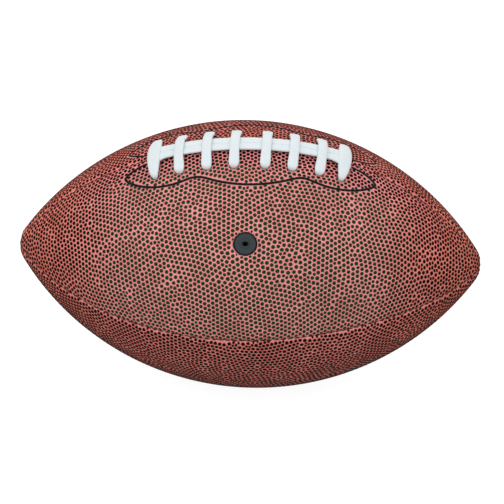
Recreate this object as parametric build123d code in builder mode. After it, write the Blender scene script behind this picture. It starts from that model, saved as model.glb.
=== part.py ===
"""American football lying with its laces up.

Four lined panels are sewn together along turned edges. The top seam stays open under the lace, which
runs through reinforced holes, and a bladder with a replaceable valve plug fills the cover.
X runs from tip to tip, +Z through the laces, and the origin is the lowest point of the belly.
"""

import os
from math import asin, atan2, cos, degrees, radians, sin

from build123d import *

os.makedirs("parts", exist_ok=True)

# Ball, measured over the panels
ball_length = 290.0
ball_diameter = 168.0
nose_radius = 18.0

# Cover: panel and lining, both turned inwards along the seams
panel_thickness = 1.8
lining_thickness = 1.0
seam_allowance = 3.4  # turned edge past the lining
seam_groove_width = 2.4
seam_groove_depth = 0.8

# Seam thread, a lockstitch through the turned edges
thread_diameter = 1.2
thread_clearance = 0.1
stitch_squeeze = 0.8  # thread pulled thin through the layers
stitch_pitch = 9.0
unsewn_tip = 26.0  # from the tip of the ball to the first stitch, along the ball

# Lace, a flat strip
lace_width = 6.0
lace_thickness = 2.2
long_strand_width = 5.5
long_strand_gap = 0.3
end_strand_width = 8.4  # the lace doubled back at the first and last row
end_strand_thickness = 3.2
lace_clearance = 0.2
lace_shoulder = 0.6  # strand above the panel at its hole
lace_bend = 0.75  # bend at a hole, in strand thicknesses
crown_bend = 6.0  # bend over the long strands

# Lace rows, half of them each side of the middle, and their holes
rows_each_side = 4
middle_gap = 18.9
row_pitch = 16.6
end_pitch = 14.1
hole_offset = 16.5  # from the seam to a hole, over the curve
hole_clearance = 0.4
slit_margin = 8.0  # open seam past the end rows

# Lace facing, the patch sewn behind the holes along a wavy line
facing_thickness = 1.0
facing_clearance = 0.1  # under the lining
facing_border = 2.5  # patch outside its sewn line
facing_tip_reach = 19.3  # tip of the sewn line past the end row
facing_tip_depth = 10.5  # tip of the sewn line from the seam
facing_lobe_reach = 4.8  # widest place of the sewn line past the end row
facing_lobe_margin = 6.5  # sewn line past the holes, there
facing_waist_reach = 32.0
facing_waist_margin = 5.0
facing_waist_radius = 25.0
facing_middle_margin = 13.8
facing_seam_distance = 5.0  # inner edge of the sewn line from the seam
stitch_line_width = 0.9
stitch_line_height = 0.45

# Tongue under the lace
tongue_thickness = 1.5
tongue_width = 50.0

# Bladder
bladder_wall = 1.0
bladder_clearance = 0.3

# Valve, near the middle of the front top panel
valve_angle = 46.0  # round the ball from the lace seam
valve_head_diameter = 13.4
valve_head_thickness = 1.8
valve_head_recess = 0.3
valve_head_clearance = 0.4
valve_stem_diameter = 7.0
valve_stem_length = 18.0
valve_fit = 0.05  # plug in sleeve, per side
sleeve_wall = 2.0
sleeve_depth = 16.0
sleeve_flange_diameter = 34.0
sleeve_flange_thickness = 1.5
needle_bore_diameter = 2.0
needle_mouth_diameter = 3.6
needle_mouth_angle = 60.0
head_edge = 0.4

# Outline: one long arc runs tangent into a nose arc centred on the long axis
half_length = ball_length / 2
half_diameter = ball_diameter / 2
nose_centre = half_length - nose_radius
arc_radius = (half_length**2 + half_diameter**2 - 2 * half_length * nose_radius) / (
    2 * (half_diameter - nose_radius)
)
arc_drop = arc_radius - half_diameter
nose_turn = atan2(arc_drop, nose_centre)
long_axis = Axis((0, 0, half_diameter), (1, 0, 0))

# Depths below the outer surface
cover_thickness = panel_thickness + lining_thickness
seam_depth = cover_thickness + seam_allowance
stitch_depth = cover_thickness + seam_allowance / 2
facing_top = cover_thickness + facing_clearance
facing_depth = facing_top + facing_thickness
inner_run_top = facing_depth + lace_clearance
inner_run_bottom = inner_run_top + lace_thickness
tongue_top = max(inner_run_bottom, seam_depth) + lace_clearance
tongue_bottom = tongue_top + tongue_thickness

# Lace rows along the ball, and the ends of what covers them
inner_rows = [middle_gap / 2 + row_pitch * row for row in range(rows_each_side - 1)]
end_row = inner_rows[-1] + end_pitch
rows = [-end_row] + [-row for row in reversed(inner_rows)] + inner_rows + [end_row]
slit_half_length = end_row + slit_margin
sewn_half_length = half_length - unsewn_tip
band_half_width = long_strand_width + long_strand_gap / 2
lace_edge_radius = 0.35 * lace_thickness
thread_end_slope = thread_diameter / arc_radius
sewn_end = end_row + end_strand_width / 2 + lace_clearance
facing_reach = end_row + facing_tip_reach + facing_border
facing_width = hole_offset + facing_middle_margin + facing_border

# Valve, measured out from the long axis
sleeve_radius = valve_stem_diameter / 2 + valve_fit + sleeve_wall
valve_hole_radius = max(valve_head_diameter / 2, sleeve_radius) + valve_head_clearance
head_seat = half_diameter - valve_head_recess - valve_head_thickness
valve_turn = radians(valve_angle)
middle_plane = Plane(origin=(0, 0, half_diameter), x_dir=(1, 0, 0), z_dir=(0, 0, 1))
valve_plane = Plane(
    origin=middle_plane.origin, x_dir=(1, 0, 0), z_dir=(0, -sin(valve_turn), cos(valve_turn))
)


def meridian_plane(angle):
    """Plane through the long axis, its Y pointing away from the axis at an angle from +Z towards -Y."""
    turn = radians(angle)
    return Plane(origin=(0, 0, half_diameter), x_dir=(1, 0, 0), z_dir=(0, -cos(turn), -sin(turn)))


def arc_point(slope, inset):
    """Point on the long arc, drawn in by inset, where the surface slopes by that many radians."""
    radius = arc_radius - inset
    return radius * sin(slope), radius * cos(slope) - arc_drop


def slope_at(along):
    """Slope of the surface at a distance along the ball from its middle."""
    return asin(along / arc_radius)


def tip_to_tip(inset):
    """Outline of half the ball, drawn in by inset, from one tip to the other."""
    radius = nose_radius - inset
    tip = nose_centre + radius
    shoulder_x, shoulder_y = nose_centre + radius * cos(nose_turn), radius * sin(nose_turn)
    nose_x, nose_y = nose_centre + radius * cos(nose_turn / 2), radius * sin(nose_turn / 2)
    with BuildLine() as outline:
        ThreePointArc((-tip, 0), (-nose_x, nose_y), (-shoulder_x, shoulder_y))
        ThreePointArc((-shoulder_x, shoulder_y), (0, half_diameter - inset), (shoulder_x, shoulder_y))
        ThreePointArc((shoulder_x, shoulder_y), (nose_x, nose_y), (tip, 0))
    return outline.line


def ball_form(inset, start=0, turn=360):
    """Solid of the ball, or of a sector of it from the start angle, drawn in by inset."""
    tip = half_length - inset
    with BuildPart() as form:
        with BuildSketch(meridian_plane(start)):
            with BuildLine():
                add(tip_to_tip(inset))
                Line((tip, 0), (-tip, 0))
            make_face()
        revolve(axis=long_axis, revolution_arc=turn)
    return form.part


def room_inside(skin, edge, depth, start=0, turn=360):
    """Room that a skin leaves in the ball or in a sector of it.

    The skin lines the outside, stands that much off each seam plane (edge) and ends at a depth, past
    which the room is open from side to side.
    """
    shallow, deep = ball_form(skin, start, turn), ball_form(depth, start, turn)
    with BuildPart() as room:
        add(shallow)
        for angle in (start, start + 90):
            with BuildSketch(meridian_plane(angle)):
                Rectangle(ball_length, ball_diameter)
            extrude(amount=edge, both=True, mode=Mode.SUBTRACT)
        add(deep)
    return room.part


def strip_outline(top, bottom, first_slope, last_slope):
    """Face of a strip that follows the long arc between two depths and two slopes."""
    middle = (first_slope + last_slope) / 2
    with BuildSketch() as strip:
        with BuildLine():
            upper = ThreePointArc(*[arc_point(s, top) for s in (first_slope, middle, last_slope)])
            lower = ThreePointArc(*[arc_point(s, bottom) for s in (first_slope, middle, last_slope)])
            Line(upper @ 0, lower @ 0)
            Line(upper @ 1, lower @ 1)
        make_face()
    return strip.sketch


def lace_row(along):
    """Plane across the ball at a lace row, with its origin on the long axis, and the surface radius in it."""
    slope = slope_at(along)
    radius = arc_point(slope, 0)[1] / cos(slope)
    origin = (along - radius * sin(slope), 0, half_diameter)
    return Plane(origin=origin, x_dir=(0, -1, 0), z_dir=(-cos(slope), 0, sin(slope))), radius


def row_strand_size(along):
    """Width and thickness of the strand in a lace row."""
    if abs(along) == end_row:
        return end_strand_width, end_strand_thickness
    return lace_width, lace_thickness


def lace_hole_planes(side):
    """Plane on the surface at each lace hole on one side (1 front, -1 back), with the strand size there."""
    for along in rows:
        across, radius = lace_row(along)
        angle = side * hole_offset / radius
        outwards = across.x_dir * sin(angle) + across.y_dir * cos(angle)
        yield Plane(across.origin + outwards * radius, across.z_dir, outwards), row_strand_size(along)


def lace_holes(side):
    """Cutters for the lace holes on one side."""
    with BuildPart() as holes:
        for hole, (width, thickness) in lace_hole_planes(side):
            with BuildSketch(hole):
                hole_width, hole_height = width + 2 * hole_clearance, thickness + 2 * hole_clearance
                RectangleRounded(hole_width, hole_height, lace_edge_radius + hole_clearance)
            extrude(amount=facing_depth + lace_clearance, both=True)
    return holes.part


def row_path(along):
    """Middle line of a lace row, across the ball: up through one hole, over the seam, down the other."""
    radius = lace_row(along)[1]
    thickness = row_strand_size(along)[1]
    under = 2 * lace_clearance + (0 if abs(along) == end_row else lace_thickness)
    angle = hole_offset / radius
    crown = (band_half_width, radius + under + thickness / 2)
    shoulder_radius = radius + lace_shoulder + thickness / 2
    shoulder = (shoulder_radius * sin(angle), shoulder_radius * cos(angle))
    foot_radius = radius - (inner_run_top + inner_run_bottom) / 2
    foot = (foot_radius * sin(angle), foot_radius * cos(angle))
    half = [crown, shoulder, foot]
    return [(-x, y) for x, y in reversed(half)] + half


def stitch_slopes(first_along, last_along):
    """Slope of the surface at each stitch between two places along the ball."""
    first, last = slope_at(first_along), slope_at(last_along)
    count = round((last - first) * (arc_radius - stitch_depth) / stitch_pitch)
    return [first + (last - first) * stitch / count for stitch in range(count + 1)]


def stitch_pins(angle, slopes, diameter, reach):
    """Pins across the seam at an angle, one for each stitch."""
    with BuildPart() as pins:
        with BuildSketch(meridian_plane(angle)):
            with Locations(*[arc_point(slope, stitch_depth) for slope in slopes]):
                Circle(diameter / 2)
        extrude(amount=reach, both=True)
    return pins.part


def sewn_area():
    """Area inside a facing's sewn line, with the seam along X and Y running away from it."""
    tip = (end_row + facing_tip_reach, facing_tip_depth)
    lobe = (end_row + facing_lobe_reach, hole_offset + facing_lobe_margin)
    waist = (facing_waist_reach, hole_offset + facing_waist_margin)
    middle = (0, hole_offset + facing_middle_margin)
    heel = (sewn_end, facing_seam_distance)
    mirrored = {point: (-point[0], point[1]) for point in (tip, lobe, waist, heel)}
    with BuildSketch() as area:
        with BuildLine():
            ThreePointArc(mirrored[tip], mirrored[lobe], mirrored[waist])
            ThreePointArc(mirrored[waist], middle, waist)
            ThreePointArc(waist, lobe, tip)
            Polyline(tip, heel, mirrored[heel], mirrored[tip])
        make_face()
        fillet(area.vertices().sort_by(Axis.Y)[-2:], facing_waist_radius)
    return area.sketch


def lace_pocket(margin):
    """Room under the cover for the lace, its facings and its tongue, with a margin all round."""
    floor = ball_form(tongue_bottom + margin)
    with BuildPart() as pocket:
        with BuildSketch(middle_plane):
            Rectangle(2 * (facing_reach + margin), 2 * (facing_width + margin))
        extrude(amount=ball_diameter)
        add(floor, mode=Mode.SUBTRACT)
    return pocket.part


def bladder_form(inset):
    """Solid that fills the cover, round its turned edges and under the lace, drawn in by inset."""
    seam_room = cover_thickness + 2 * thread_clearance + thread_diameter
    room = room_inside(cover_thickness + inset, seam_room + inset, seam_depth + inset)
    pocket = lace_pocket(inset)
    with BuildPart() as form:
        add(room)
        add(pocket, mode=Mode.SUBTRACT)
    return form.part


def save(part, name):
    """Label a finished piece and write its file."""
    part.label = name
    export_step(part, f"parts/{name}.step")


# Stitches of each seam, and the holes for them by the seam's angle
seams = {
    "seam_thread_top_left": (0, stitch_slopes(-sewn_half_length, -slit_half_length)),
    "seam_thread_top_right": (0, stitch_slopes(slit_half_length, sewn_half_length)),
    "seam_thread_front": (90, stitch_slopes(-sewn_half_length, sewn_half_length)),
    "seam_thread_bottom": (180, stitch_slopes(-sewn_half_length, sewn_half_length)),
    "seam_thread_back": (270, stitch_slopes(-sewn_half_length, sewn_half_length)),
}
stitch_hole_diameter = thread_diameter + 2 * thread_clearance
stitch_holes = [
    (angle, stitch_pins(angle, slopes, stitch_hole_diameter, 2 * cover_thickness))
    for angle, slopes in seams.values()
]
side_lace_holes = {0: lace_holes(1), 270: lace_holes(-1)}

# Panels and linings, a quarter of the cover each, named by where they lie
quarters = {"front_top": 0, "front_bottom": 90, "back_bottom": 180, "back_top": 270}
for place, start in quarters.items():
    outside = ball_form(0, start, 90)
    panel_room = room_inside(panel_thickness, panel_thickness, seam_depth, start, 90)
    lining_room = room_inside(cover_thickness, cover_thickness, seam_depth, start, 90)
    cuts = [holes for angle, holes in stitch_holes if angle in (start, (start + 90) % 360)]
    if start in side_lace_holes:
        cuts.append(side_lace_holes[start])

    with BuildPart() as panel:
        add(outside)
        add(panel_room, mode=Mode.SUBTRACT)
        for angle in (start, start + 90):
            seam_plane = meridian_plane(angle)
            with BuildLine(seam_plane) as seam:
                add(tip_to_tip(0))
            tip = seam.line @ 0
            with BuildSketch(Plane(tip, x_dir=seam_plane.z_dir, z_dir=seam.line % 0)):
                # The groove's section points into the ball, and stands as far out as it cuts in
                Polygon(
                    (-seam_groove_width, -seam_groove_depth),
                    (seam_groove_width, -seam_groove_depth),
                    (0, seam_groove_depth),
                    align=None,
                )
            sweep(mode=Mode.SUBTRACT)
        for cut in cuts:
            add(cut, mode=Mode.SUBTRACT)
        if place == "front_top":
            with BuildSketch(valve_plane):
                Circle(valve_hole_radius)
            extrude(amount=ball_diameter, mode=Mode.SUBTRACT)
    save(panel.part, f"panel_{place}")

    with BuildPart() as lining:
        add(panel_room)
        add(lining_room, mode=Mode.SUBTRACT)
        for cut in cuts:
            add(cut, mode=Mode.SUBTRACT)
        if place == "front_top":
            with BuildSketch(valve_plane):
                Circle(valve_hole_radius)
            extrude(amount=ball_diameter, mode=Mode.SUBTRACT)
    save(lining.part, f"lining_{place}")

# Seam threads: a run of thread each side of the turned edges, joined by the stitches
run_offset = cover_thickness + thread_clearance + thread_diameter / 2
for name, (angle, slopes) in seams.items():
    pins = stitch_pins(angle, slopes, thread_diameter * stitch_squeeze, run_offset)
    ends = slopes[0] - thread_end_slope, slopes[-1] + thread_end_slope
    with BuildPart() as seam_thread:
        add(pins)
        for side in (-1, 1):
            with BuildLine(meridian_plane(angle).offset(side * run_offset)) as run:
                run_slopes = ends[0], (ends[0] + ends[1]) / 2, ends[1]
                ThreePointArc(*[arc_point(slope, stitch_depth) for slope in run_slopes])
            with BuildSketch(Plane(run.line @ 0, z_dir=run.line % 0)):
                Circle(thread_diameter / 2)
            sweep()
    save(seam_thread.part, name)

# Facings behind the lace holes, and the thread that sews them on, which shows as a line on the panels
facing_outside, facing_inside = ball_form(facing_top), ball_form(facing_depth)
panel_face, stitch_face = ball_form(0), ball_form(-stitch_line_height)
sewn = sewn_area()
for place, side, holes in (("front", 1, side_lace_holes[0]), ("back", -1, side_lace_holes[270])):
    away_from_seam = Plane(origin=middle_plane.origin, x_dir=(-side, 0, 0), z_dir=(0, 0, 1))

    with BuildPart() as facing:
        with BuildSketch(away_from_seam):
            add(sewn)
            offset(amount=facing_border)
            Rectangle(ball_length, 2 * (cover_thickness + lace_clearance), mode=Mode.SUBTRACT)
        extrude(amount=ball_diameter)
        add(facing_outside, mode=Mode.INTERSECT)
        add(facing_inside, mode=Mode.SUBTRACT)
        add(holes, mode=Mode.SUBTRACT)
    save(facing.part, f"lace_facing_{place}")

    with BuildPart() as facing_stitch:
        with BuildSketch(away_from_seam):
            add(sewn)
            offset(amount=-stitch_line_width, mode=Mode.SUBTRACT)
            Rectangle(2 * sewn_end, 2 * hole_offset, mode=Mode.SUBTRACT)
        extrude(amount=ball_diameter)
        add(stitch_face, mode=Mode.INTERSECT)
        add(panel_face, mode=Mode.SUBTRACT)
    save(facing_stitch.part, f"facing_stitch_{place}")

# Lace: two long strands under the rows, and runs behind the facings from row to row
with BuildPart() as lace:
    for along in rows:
        across = lace_row(along)[0]
        width, thickness = row_strand_size(along)
        bend = thickness * lace_bend
        with BuildLine(across) as path:
            FilletPolyline(*row_path(along), radius=[bend, crown_bend, crown_bend, bend])
        with BuildSketch(Plane(path.line @ 0, x_dir=across.z_dir, z_dir=path.line % 0)):
            RectangleRounded(width, thickness, lace_edge_radius)
        sweep()
    for side in (-1, 1):
        strand_offset = side * (long_strand_gap + long_strand_width) / 2
        strand = strip_outline(
            -lace_clearance - lace_thickness, -lace_clearance, slope_at(-end_row), slope_at(end_row)
        )
        with BuildSketch(meridian_plane(0).offset(strand_offset)):
            add(strand)
        extrude(amount=long_strand_width / 2, both=True)
    side = 1
    for first, last in zip(rows, rows[1:]):
        overlap = lace_width / 2 / arc_radius
        run = strip_outline(
            inner_run_top, inner_run_bottom, slope_at(first) - overlap, slope_at(last) + overlap
        )
        hole_angles = [hole_offset / arc_point(slope_at(row), 0)[1] for row in (first, last)]
        with BuildSketch(meridian_plane(side * degrees(sum(hole_angles) / 2))):
            add(run)
        extrude(amount=lace_width / 2, both=True)
        side = -side
save(lace.part, "lace")

# Tongue under the lace
tongue_outside, tongue_inside = ball_form(tongue_top), ball_form(tongue_bottom)
with BuildPart() as tongue:
    with BuildSketch(middle_plane):
        RectangleRounded(2 * facing_reach, tongue_width, tongue_width / 4)
    extrude(amount=ball_diameter)
    add(tongue_outside, mode=Mode.INTERSECT)
    add(tongue_inside, mode=Mode.SUBTRACT)
save(tongue.part, "lace_tongue")

# Bladder, with a hole for the valve sleeve
bladder_outside = bladder_form(bladder_clearance)
bladder_inside = bladder_form(bladder_clearance + bladder_wall)
with BuildPart() as bladder:
    add(bladder_outside)
    add(bladder_inside, mode=Mode.SUBTRACT)
    with BuildSketch(valve_plane):
        Circle(sleeve_radius + valve_fit)
    extrude(amount=ball_diameter, mode=Mode.SUBTRACT)
save(bladder.part, "bladder")

# Valve sleeve, moulded with a flange that is bonded inside the bladder
flange_depth = cover_thickness + bladder_clearance + bladder_wall + valve_fit
flange_outside = ball_form(flange_depth)
flange_inside = ball_form(flange_depth + sleeve_flange_thickness)
with BuildPart() as valve_sleeve:
    with BuildSketch(valve_plane):
        Circle(sleeve_flange_diameter / 2)
    extrude(amount=ball_diameter)
    add(flange_outside, mode=Mode.INTERSECT)
    add(flange_inside, mode=Mode.SUBTRACT)
    with BuildSketch(valve_plane.offset(head_seat - valve_fit)):
        Circle(sleeve_radius)
    extrude(amount=-sleeve_depth)
    with BuildSketch(valve_plane):
        Circle(valve_stem_diameter / 2 + valve_fit)
    extrude(amount=ball_diameter, mode=Mode.SUBTRACT)
save(valve_sleeve.part, "valve_sleeve")

# Valve plug: a head that shows, a stem in the sleeve, and a bore for the needle
with BuildPart() as valve_plug:
    with BuildSketch(valve_plane.offset(head_seat)):
        Circle(valve_head_diameter / 2)
    extrude(amount=valve_head_thickness)
    fillet(valve_plug.faces().sort_by(Axis(valve_plane.origin, valve_plane.z_dir))[-1].edges(), head_edge)
    with BuildSketch(valve_plane.offset(head_seat)):
        Circle(valve_stem_diameter / 2)
    extrude(amount=-valve_stem_length)
    with Locations(valve_plane.offset(head_seat + valve_head_thickness)):
        CounterSinkHole(
            needle_bore_diameter / 2, needle_mouth_diameter / 2, counter_sink_angle=needle_mouth_angle
        )
save(valve_plug.part, "valve_plug")
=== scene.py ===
"""American football: pebbled leather panels, a white lace, black sewn lines and a rubber valve plug.

Lengths are metres, written as millimetres times mm. X runs from tip to tip and the ball lies on z = 0.
A place on the ball is its run, the distance over the skin from the belly towards a tip, and its turn,
the angle round the long axis from the lace seam towards the front.
"""

from math import atan2, cos, pi, radians, sin, sqrt

import bpy
import numpy as np
from mathutils import Matrix, Vector
from mathutils.geometry import delaunay_2d_cdt


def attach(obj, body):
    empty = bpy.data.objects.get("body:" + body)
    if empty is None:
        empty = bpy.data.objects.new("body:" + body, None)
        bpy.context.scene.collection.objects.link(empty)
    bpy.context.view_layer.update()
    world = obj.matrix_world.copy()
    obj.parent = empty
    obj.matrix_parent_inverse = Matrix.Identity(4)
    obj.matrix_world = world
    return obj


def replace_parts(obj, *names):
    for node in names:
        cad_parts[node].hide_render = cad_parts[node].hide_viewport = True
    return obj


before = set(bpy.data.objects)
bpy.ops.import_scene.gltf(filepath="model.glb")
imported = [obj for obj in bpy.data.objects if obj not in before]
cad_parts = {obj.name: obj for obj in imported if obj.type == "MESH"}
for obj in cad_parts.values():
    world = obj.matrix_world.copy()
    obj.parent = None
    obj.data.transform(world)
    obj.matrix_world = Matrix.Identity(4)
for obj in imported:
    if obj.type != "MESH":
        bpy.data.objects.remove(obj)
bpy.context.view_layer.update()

mm = 0.001

# Ball: a long arc from shoulder to shoulder, and a nose arc tangent to it at each end
half_length = 145 * mm
half_diameter = 84 * mm
nose_radius = 18 * mm
axis_height = half_diameter
nose_centre = half_length - nose_radius
arc_radius = (half_length**2 + half_diameter**2 - 2 * half_length * nose_radius) / (
    2 * (half_diameter - nose_radius)
)
arc_drop = arc_radius - half_diameter
shoulder_slope = atan2(nose_centre, arc_drop)
shoulder_run = arc_radius * shoulder_slope
tip_run = shoulder_run + nose_radius * (pi / 2 - shoulder_slope)

# Panels, each a quarter turn, by the turn of their middle lines, and the side of the lace that two lie on
panel_middles = {
    "front_top": radians(45),
    "front_bottom": radians(135),
    "back_bottom": radians(225),
    "back_top": radians(-45),
}
half_panel = radians(45)
top_sides = {"front_top": 1, "back_top": -1}

# Twist of the sewn cover about the long axis, in radians: at the middle of the ball, for each metre along it
# and for each square metre, and the distance from the middle at which it dies away
twist_middle = -0.0155
twist_rate = -0.55
twist_bend = -2.5
twist_reach = 125 * mm

# Panel thickness, its turned edges, and the strip along them where the inner skin draws in by a thickness
panel_thickness = 1.8 * mm
turned_edge_depth = 6.2 * mm
edge_strip = 8 * mm
tip_inset = 0.3 * mm

# Leather laid flat, on a grid of distances along a panel's middle line and square to it
flat_step = 0.25 * mm
flat_reach = 76 * mm
flat_starts = np.arange(-tip_run, tip_run, flat_step)
correction_rounds = 60

# Baked picture of a panel: the outer skin, with a margin, below a narrow strip for the inner skin
widest_flat = half_diameter * half_panel
map_fill = 0.98
outer_share = 0.85
inner_start = 0.86
inner_share = 0.12

# Pebbles pressed into the leather: rows, sizes, heights, and the plain strips that they leave
pebble_row_turns = {
    "front_top": radians(22),
    "front_bottom": radians(8),
    "back_bottom": radians(50),
    "back_top": radians(12),
}
pebble_pitch = 3.02 * mm
pebble_sheet = 1.2 * tip_run
pebble_shake = 0.55 * mm
pebble_drift = 1.8 * mm
pebble_drift_length = 60 * mm
pebble_drift_waves = 4
evening_rounds = 5
pebble_top = 1.2 * mm
pebble_foot = 1.44 * mm
pebble_size_spread = 0.04
pebble_size_limit = 2
top_limit = 0.71
foot_limit = 0.87
pebble_rise = 0.24 * mm
valley_depth = 0.2 * mm
top_ring_share = 0.8
foot_ring_share = 0.55
pebble_seam_margin = 0.45 * mm
pebble_hole_margin = 0.25 * mm
pebble_stitch_margin = 1.05 * mm

# Seams: a groove that puckers at each stitch, with a low swell beside it, and the width of the painted shade
# in the groove and how much that shade fades between the puckers
seam_gap = 0.04 * mm
seam_shoulder = 2.0 * mm
seam_depth = 0.8 * mm
seam_shade = 0.8 * mm
seam_spacing = 1.05 * mm
seam_stitch = 4.2 * mm
seam_pucker = 0.35 * mm
seam_fading = 0.85
seam_pad = 0.16 * mm
seam_pad_place = 2.6 * mm
seam_pad_width = 1.5 * mm
seam_end = tip_run - 2.2 * mm

# Colour of the leather: how much painted warmth each panel has, and from where to where it grows towards the
# tips;
# it paints the leather as it looks without the sheen that pales only the front panel's middle
panel_redness = {"front_top": 0.0, "front_bottom": 0.6, "back_bottom": 0.6, "back_top": 0.6}
redness_start = 70 * mm
redness_end = 130 * mm

# Ink on the pebbles: its strength at the edge of their tops, how far it spreads with the painted warmth, and
# the panels and the bounds, out from the lace seam and along the ball, of a painted highlight that turns it
# grey-green
ink_reach = {"front_top": 1.0, "front_bottom": 1.0, "back_bottom": 1.0, "back_top": 0.85}
ink_spread = 0.25
ink_fading = {"front_top": 1.0, "front_bottom": 0.0, "back_bottom": 0.0, "back_top": 0.0}
ink_fading_start = 8 * mm
ink_fading_full = 22 * mm
ink_fading_low = 65 * mm
ink_fading_end = 115 * mm

# Lace rows along the ball, and their feet
rows = np.array([-58.2, -43.15, -26.55, -9.95, 8.95, 25.55, 42.15, 55.8]) * mm
end_rows = rows[[0, -1]]
row_points = 96
lace_width = 6.6 * mm
lace_thickness = 2.2 * mm
lace_foot_width = 4.6 * mm
foot_start = 14.0 * mm
foot_end = 20.0 * mm
foot_roundness = 0.97
width_places = (0, 0.45, 0.85)
width_shares = (0.9, 0.9, 1)

# End rows, where the lace is doubled
end_width = 8.6 * mm
end_thickness = 3.2 * mm
end_bulge = 0.2 * mm
end_foot_width = 4.4 * mm
end_foot_thickness = 0.8 * end_thickness
end_foot_end = 19.8 * mm
end_foot_roundness = 0.98
end_foot_power = 1.9
end_height_places = (0, 0.5, 1)
end_height_shares = (0.5, 0.47, 0.36)

# Line of a lace row and of an end row, from the seam to the foot: across the ball and over the panel, in mm
row_line = [
    (0, 4.3), (3.5, 4.25), (7.0, 3.8), (10.1, 2.3), (13.4, 1.45), (15.8, 1.2), (16.6, -0.4), (16.7, -3),
    (16.7, -5.2),
]
end_row_line = [
    (0, 2.9), (4, 2.9), (8, 2.6), (12.3, 1.9), (15.6, 1.5), (16.7, -0.3), (16.7, -3), (16.7, -5.2),
]

# Strands along the seam under the rows, and the runs of the lace behind the facings
long_strand_width = 5.5 * mm
long_strand_thickness = 1.5 * mm
long_strand_gap = 0.12 * mm
long_strand_flare = 3.4 * mm
long_strand_flare_length = 9 * mm
long_strand_points = 200
lace_clearance = 1.7 * mm
inner_run_depth = 5.2 * mm
inner_run_points = 12

# Lace holes, from the seam over the curve, and their rims, with the painted shadow on the rims of all holes
hole_offset = 16.9 * mm
hole_clearance = 0.5 * mm
hole_rim_depth = 0.7 * mm
hole_rim_points = 20
hole_edge_shade = 0.6
hole_wall_share = 0.6
hole_foot_share = 0.8

# Sewn line, along the ball from its middle and out from the seam, in mm: heel, bend, tip, lobe, waist, middle
sewn_points = [(61.15, 4.2), (70.2, 6.6), (77.4, 11.8), (61.55, 23.2), (32.0, 21.5), (0.0, 30.3)]
sewn_arc_points = 40
sewn_test_step = 3
stitch_sample = 0.25 * mm
stitch_rounding = 11 * mm
stitch_tip_rounding = 7 * mm
stitch_tip_softness = 0.5
stitch_length = 3.2 * mm
stitch_thickness = 1.75 * mm
stitch_lift = {"front": -0.15 * mm, "back": -0.4 * mm}
stitch_swell = 0.15 * mm
stitch_waist = 0.8
stitch_flatness = 0.55
stitch_groove = 0.25 * mm
stitch_groove_spacing = 1.6 * mm

# Valve hole in the cover
valve_turn = radians(46)
valve_hole_radius = 7.15 * mm
valve_rim_depth = 0.4 * mm
valve_rim_points = 48

# Valve plug: radius, height over its face and share of the radius across the ball, in mm
plug_face = 83.7 * mm
plug_sides = 72
plug_outline = [
    (1.0, -19.8, 1.0), (1.0, -2.6, 1.0), (1.3, -1.9, 0.95), (1.75, -1.1, 0.78), (1.92, -0.3, 0.71),
    (2.0, 0.12, 0.71), (2.15, 0.36, 0.74), (2.45, 0.44, 0.8), (2.75, 0.34, 0.86), (2.95, 0.08, 0.92),
    (3.1, -0.16, 0.96), (3.4, -0.2, 1.0), (3.7, -0.08, 1.0), (4.0, -0.02, 1.0), (5.7, -0.08, 1.0),
    (6.15, -0.18, 1.0), (6.4, -0.4, 1.0), (6.5, -0.8, 1.0), (6.6, -1.4, 1.0), (6.6, -1.8, 1.0),
    (3.6, -1.8, 1.0), (3.5, -2.0, 1.0), (3.5, -19.4, 1.0), (3.2, -19.8, 1.0),
]

# Camera, at the photograph's angle and distance
camera_distance = 1.5
camera_azimuth = radians(2.6)
camera_elevation = radians(40.0)
camera_roll = radians(1.1)
picture_side = 504
ball_pixel = (249.64, 253.85)
focal_pixels = 2380
sensor_width = 36

# Surroundings
world_light = 0.66
floor_lift = 0.9
floor_half = 4.0
floor_low = -0.3 * mm

# Colour sockets of a Mix node
mix_factor, mix_first, mix_second, mix_result = 0, 6, 7, 2


def linear(colour):
    """Linear RGBA of an sRGB hex colour."""
    values = np.array([int(colour[place : place + 2], 16) for place in (1, 3, 5)]) / 255
    curved = ((values + 0.055) / 1.055) ** 2.4
    return (*np.where(values <= 0.04045, values / 12.92, curved), 1.0)


def ramp(values, start, end):
    """0 up to the start and 1 from the end, and the smooth 3 t^2 - 2 t^3 of the share t between them."""
    share = np.clip((values - start) / (end - start), 0, 1)
    return share**2 * (3 - 2 * share)


def meridian(run):
    """Distance along the axis, radius and slope of the skin at a run.

    The slope grows with the run, divided by the long arc's radius and then by the nose's.
    """
    reach = np.abs(run)
    on_arc = np.minimum(reach, shoulder_run)
    slope = on_arc / arc_radius + (reach - on_arc) / nose_radius
    on_nose = reach > shoulder_run
    along = np.where(on_nose, nose_centre + nose_radius * np.sin(slope), arc_radius * np.sin(slope))
    radius = np.where(on_nose, nose_radius * np.cos(slope), arc_radius * np.cos(slope) - arc_drop)
    return np.sign(run) * along, radius, np.sign(run) * slope


def twist(along):
    """Turn that the cover's twist adds at a distance along the axis.

    It is a quadratic in the distance, times exp(-(distance / reach)^4).
    """
    fade = np.exp(-((along / twist_reach) ** 4))
    return (twist_middle + twist_rate * along + twist_bend * along**2) * fade


def outwards(run, turn):
    """Direction square to the skin at a run and turn of the twisted cover."""
    along, _, slope = meridian(run)
    turn = turn + twist(along)
    return np.stack(
        [np.sin(slope), -np.sin(turn) * np.cos(slope), np.cos(turn) * np.cos(slope)], axis=-1
    )


def forwards(run, turn):
    """Direction round the ball, towards the front, at a run and turn of the twisted cover."""
    turn = turn + twist(meridian(run)[0])
    return np.stack([np.zeros_like(turn), -np.cos(turn), -np.sin(turn)], axis=-1)


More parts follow.
